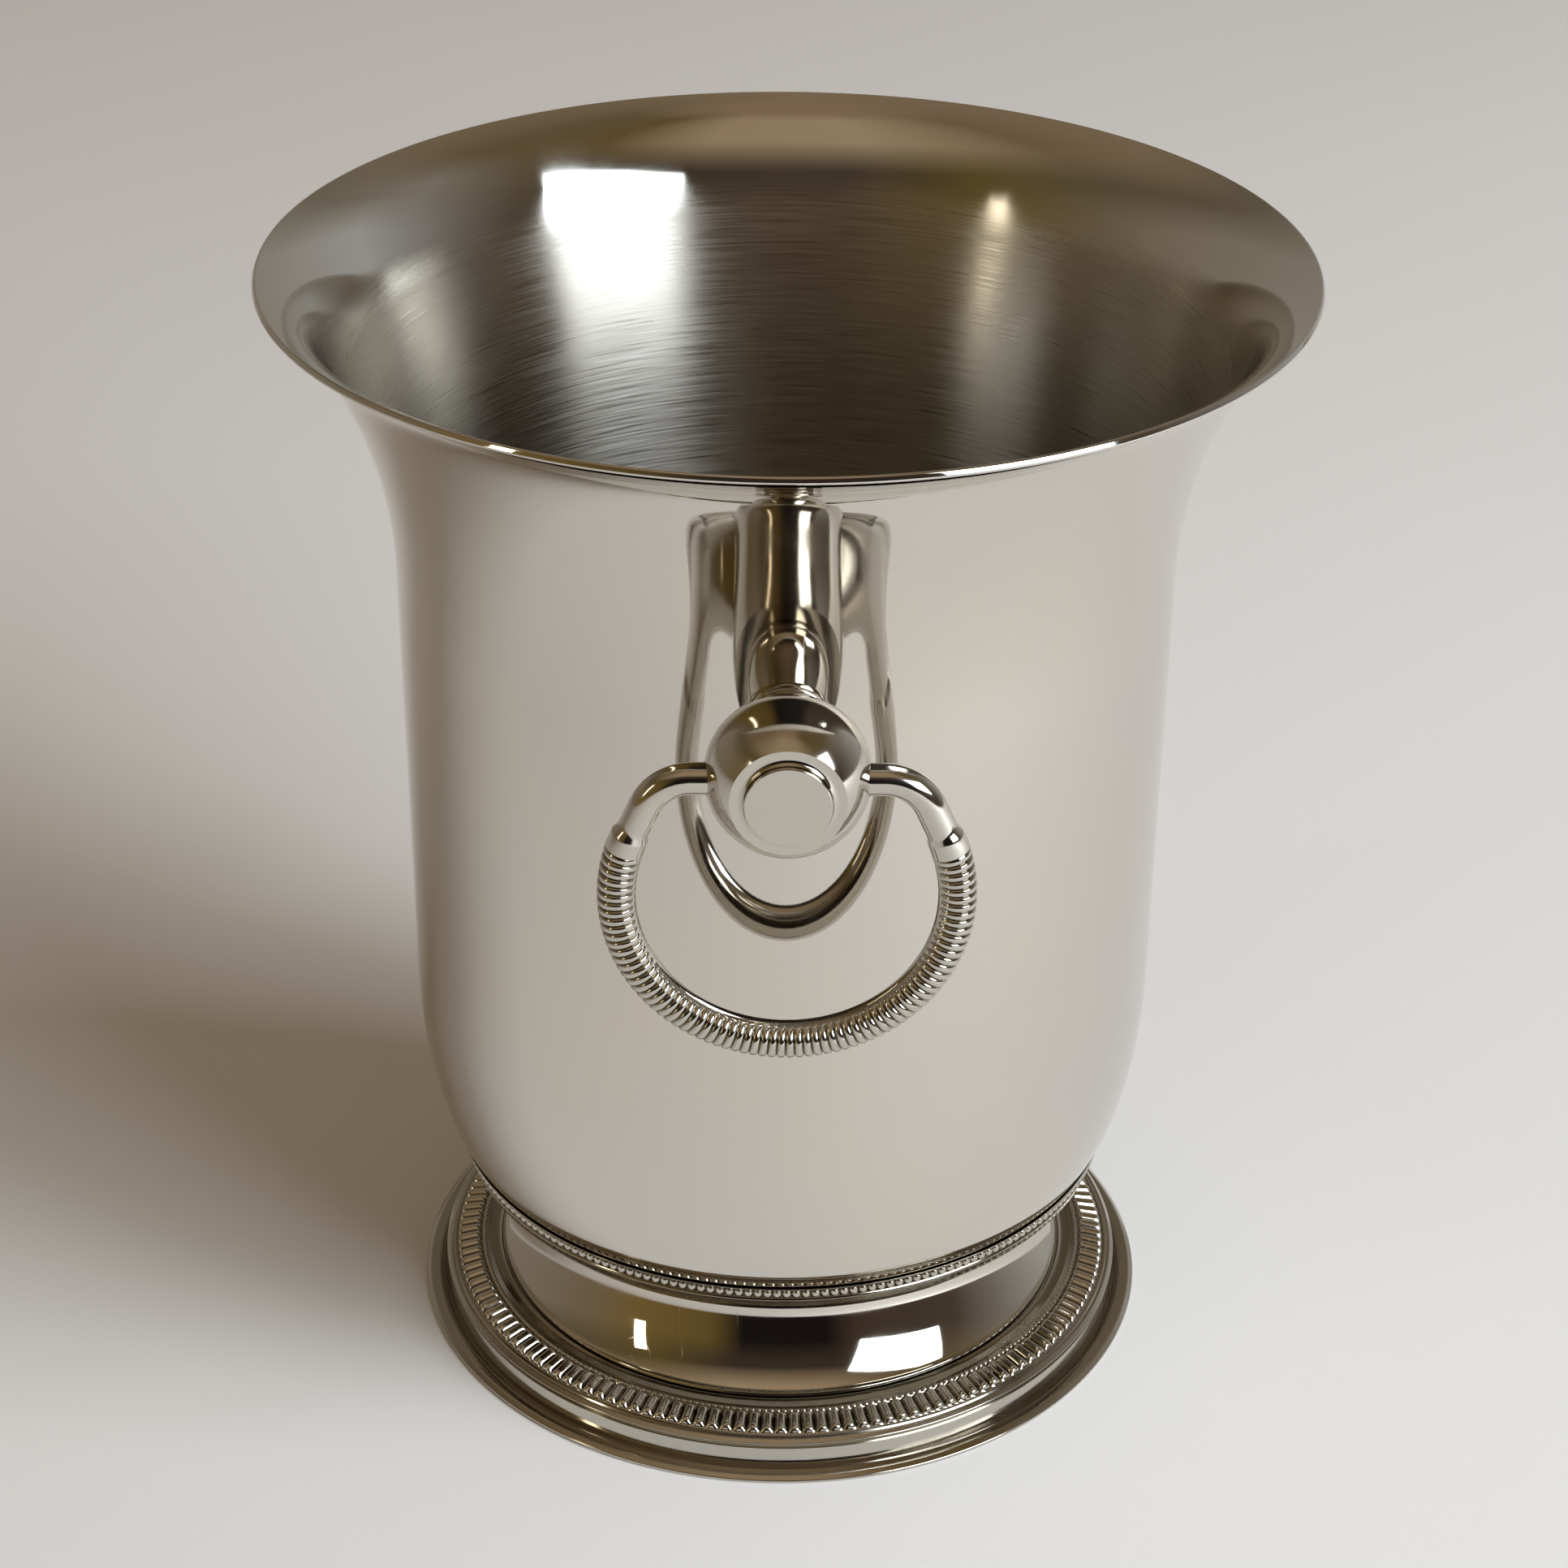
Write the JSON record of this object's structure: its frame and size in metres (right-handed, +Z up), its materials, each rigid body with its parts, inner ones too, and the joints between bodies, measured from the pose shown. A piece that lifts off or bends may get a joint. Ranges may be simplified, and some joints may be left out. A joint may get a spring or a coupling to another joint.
{
  "type": "champagne bucket",
  "caption": "Round silver champagne bucket with a flared lip, beaded collar, reeded foot and a hanging ring handle on each side.",
  "frame": {"origin": "centre of the foot's resting face", "axes": "+Z up through the bowl, -Y towards the front ring handle, +X to the right seen from the front"},
  "size_m": [0.2, 0.2114, 0.2302],
  "materials": {
    "shell_silver": "mirror-polished silver plate outside and on the lip, fine circular brushing inside",
    "collar_silver": "polished silver plate, darker between the beads",
    "neck_silver": "mirror-polished silver plate",
    "border_silver": "polished silver plate, darker between the reeds",
    "lug_silver": "polished silver plate",
    "ring_silver": "polished silver plate, ribbed grip",
    "fixing_steel": "plain stainless steel"
  },
  "bodies": {
    "bucket": {"bucket_shell": "shell_silver", "bead_collar": "collar_silver", "foot_neck": "neck_silver", "foot_border": "border_silver", "foot_stud": "fixing_steel", "foot_clamp_plate": "fixing_steel", "foot_washer": "fixing_steel", "foot_nut": "fixing_steel", "wall_pad_front": "lug_silver", "stalk_front": "lug_silver", "ball_front": "lug_silver", "ball_cap_front": "lug_silver", "tie_stud_front": "fixing_steel", "wall_pad_back": "lug_silver", "stalk_back": "lug_silver", "ball_back": "lug_silver", "ball_cap_back": "lug_silver", "tie_stud_back": "fixing_steel"},
    "front_ring": {"ring_front": "ring_silver"},
    "back_ring": {"ring_back": "ring_silver"}
  },
  "joints": [
    {"name": "front_ring_hinge", "type": "hinge", "parent": "bucket", "child": "front_ring", "pos_m": [0, -0.09535, 0.1716], "axis": [-1, 0, 0], "range_deg": [-16, 165]},
    {"name": "back_ring_hinge", "type": "hinge", "parent": "bucket", "child": "back_ring", "pos_m": [0, 0.09535, 0.1716], "axis": [1, 0, 0], "range_deg": [-16, 165]}
  ]
}
